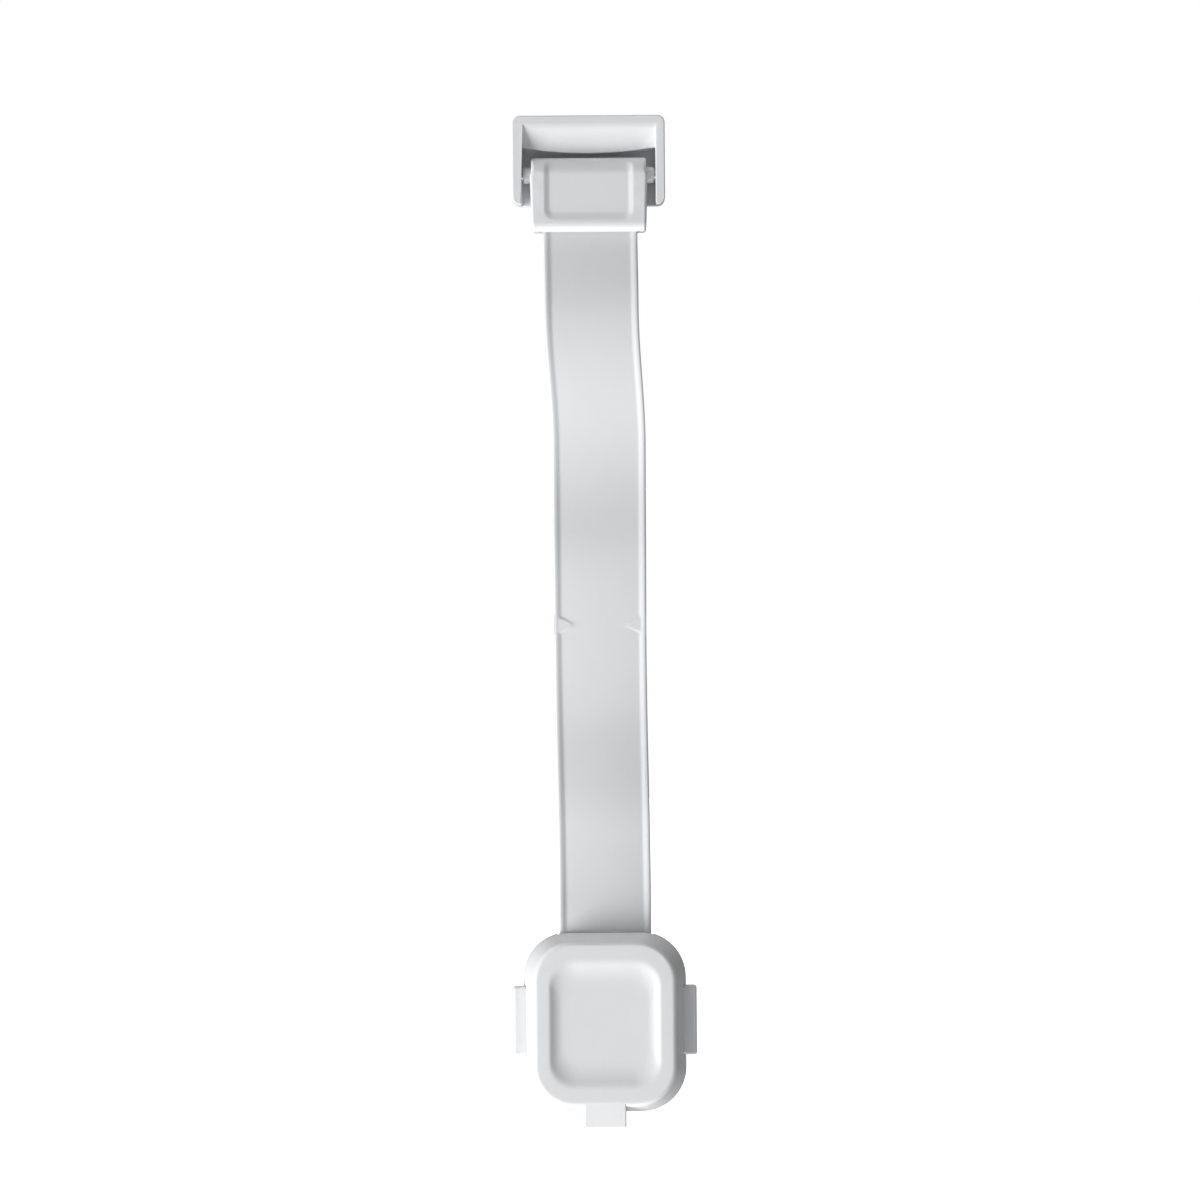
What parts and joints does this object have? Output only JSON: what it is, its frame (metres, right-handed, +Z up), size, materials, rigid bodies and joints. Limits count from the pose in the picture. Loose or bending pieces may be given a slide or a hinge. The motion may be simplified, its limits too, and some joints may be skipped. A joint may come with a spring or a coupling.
{
  "type": "strap safety latch",
  "caption": "Child-safety strap latch: adhesive anchor with a hinged strap end, flexible ribbed strap, squeeze-release head and its catch plate.",
  "frame": {"origin": "middle of the anchor adhesive pad's back face, in the wall plane Y = 0", "axes": "+Z up along the strap from the latch head to the anchor, +Y into the wall, -Y to the front, +X to the right seen from the front"},
  "size_m": [0.0434, 0.013, 0.2387],
  "materials": {
    "white_plastic": "satin white injection-moulded ABS",
    "inner_plastic": "matt white injection-moulded ABS",
    "strap_plastic": "flexible white polypropylene with a satin skin",
    "foam_tape": "white closed-cell acrylic foam tape",
    "steel": "bright zinc-plated steel"
  },
  "bodies": {
    "anchor": {"anchor_base": "white_plastic", "anchor_adhesive_pad": "foam_tape", "hinge_pin": "steel"},
    "strap_end": {"strap_end_housing": "white_plastic", "strap_end_clamp": "inner_plastic", "strap_end_screw_left": "steel", "strap_end_screw_right": "steel", "strap_upper": "strap_plastic"},
    "latch": {"strap_lower": "strap_plastic", "strap_clamp_bar": "inner_plastic", "latch_cover": "white_plastic", "latch_back_plate": "inner_plastic", "latch_screw_1": "steel", "latch_screw_2": "steel", "latch_screw_3": "steel", "latch_screw_4": "steel", "left_button_spring": "steel", "right_button_spring": "steel"},
    "left_button": {"left_button": "white_plastic"},
    "right_button": {"right_button": "white_plastic"},
    "catch": {"catch_base": "white_plastic", "catch_hook_left": "inner_plastic", "catch_hook_right": "inner_plastic", "catch_adhesive_pad": "foam_tape"}
  },
  "joints": [
    {"name": "strap_end_pivot", "type": "hinge", "parent": "anchor", "child": "strap_end", "pos_m": [0, -0.0071, -0.0034], "axis": [-1, 0, 0], "range_deg": [0, 120]},
    {"name": "strap_fold", "type": "hinge", "parent": "strap_end", "child": "latch", "pos_m": [0.002, -0.00324, -0.1097], "axis": [-1, 0, 0], "range_deg": [-95, 95], "stiffness_Nm_per_rad": 0.03},
    {"name": "left_button_press", "type": "slide", "parent": "latch", "child": "left_button", "axis": [1, 0, 0], "range_m": [0, 0.0023], "stiffness_N_per_m": 600, "springref_m": -0.0012, "deforming": ["left_button_spring", "catch_hook_left"]},
    {"name": "right_button_press", "type": "slide", "parent": "latch", "child": "right_button", "axis": [-1, 0, 0], "range_m": [0, 0.0023], "stiffness_N_per_m": 600, "springref_m": -0.0012, "deforming": ["right_button_spring", "catch_hook_right"]},
    {"name": "catch_release", "type": "slide", "parent": "latch", "child": "catch", "axis": [0, 1, 0], "range_m": [0, 0.014]}
  ]
}
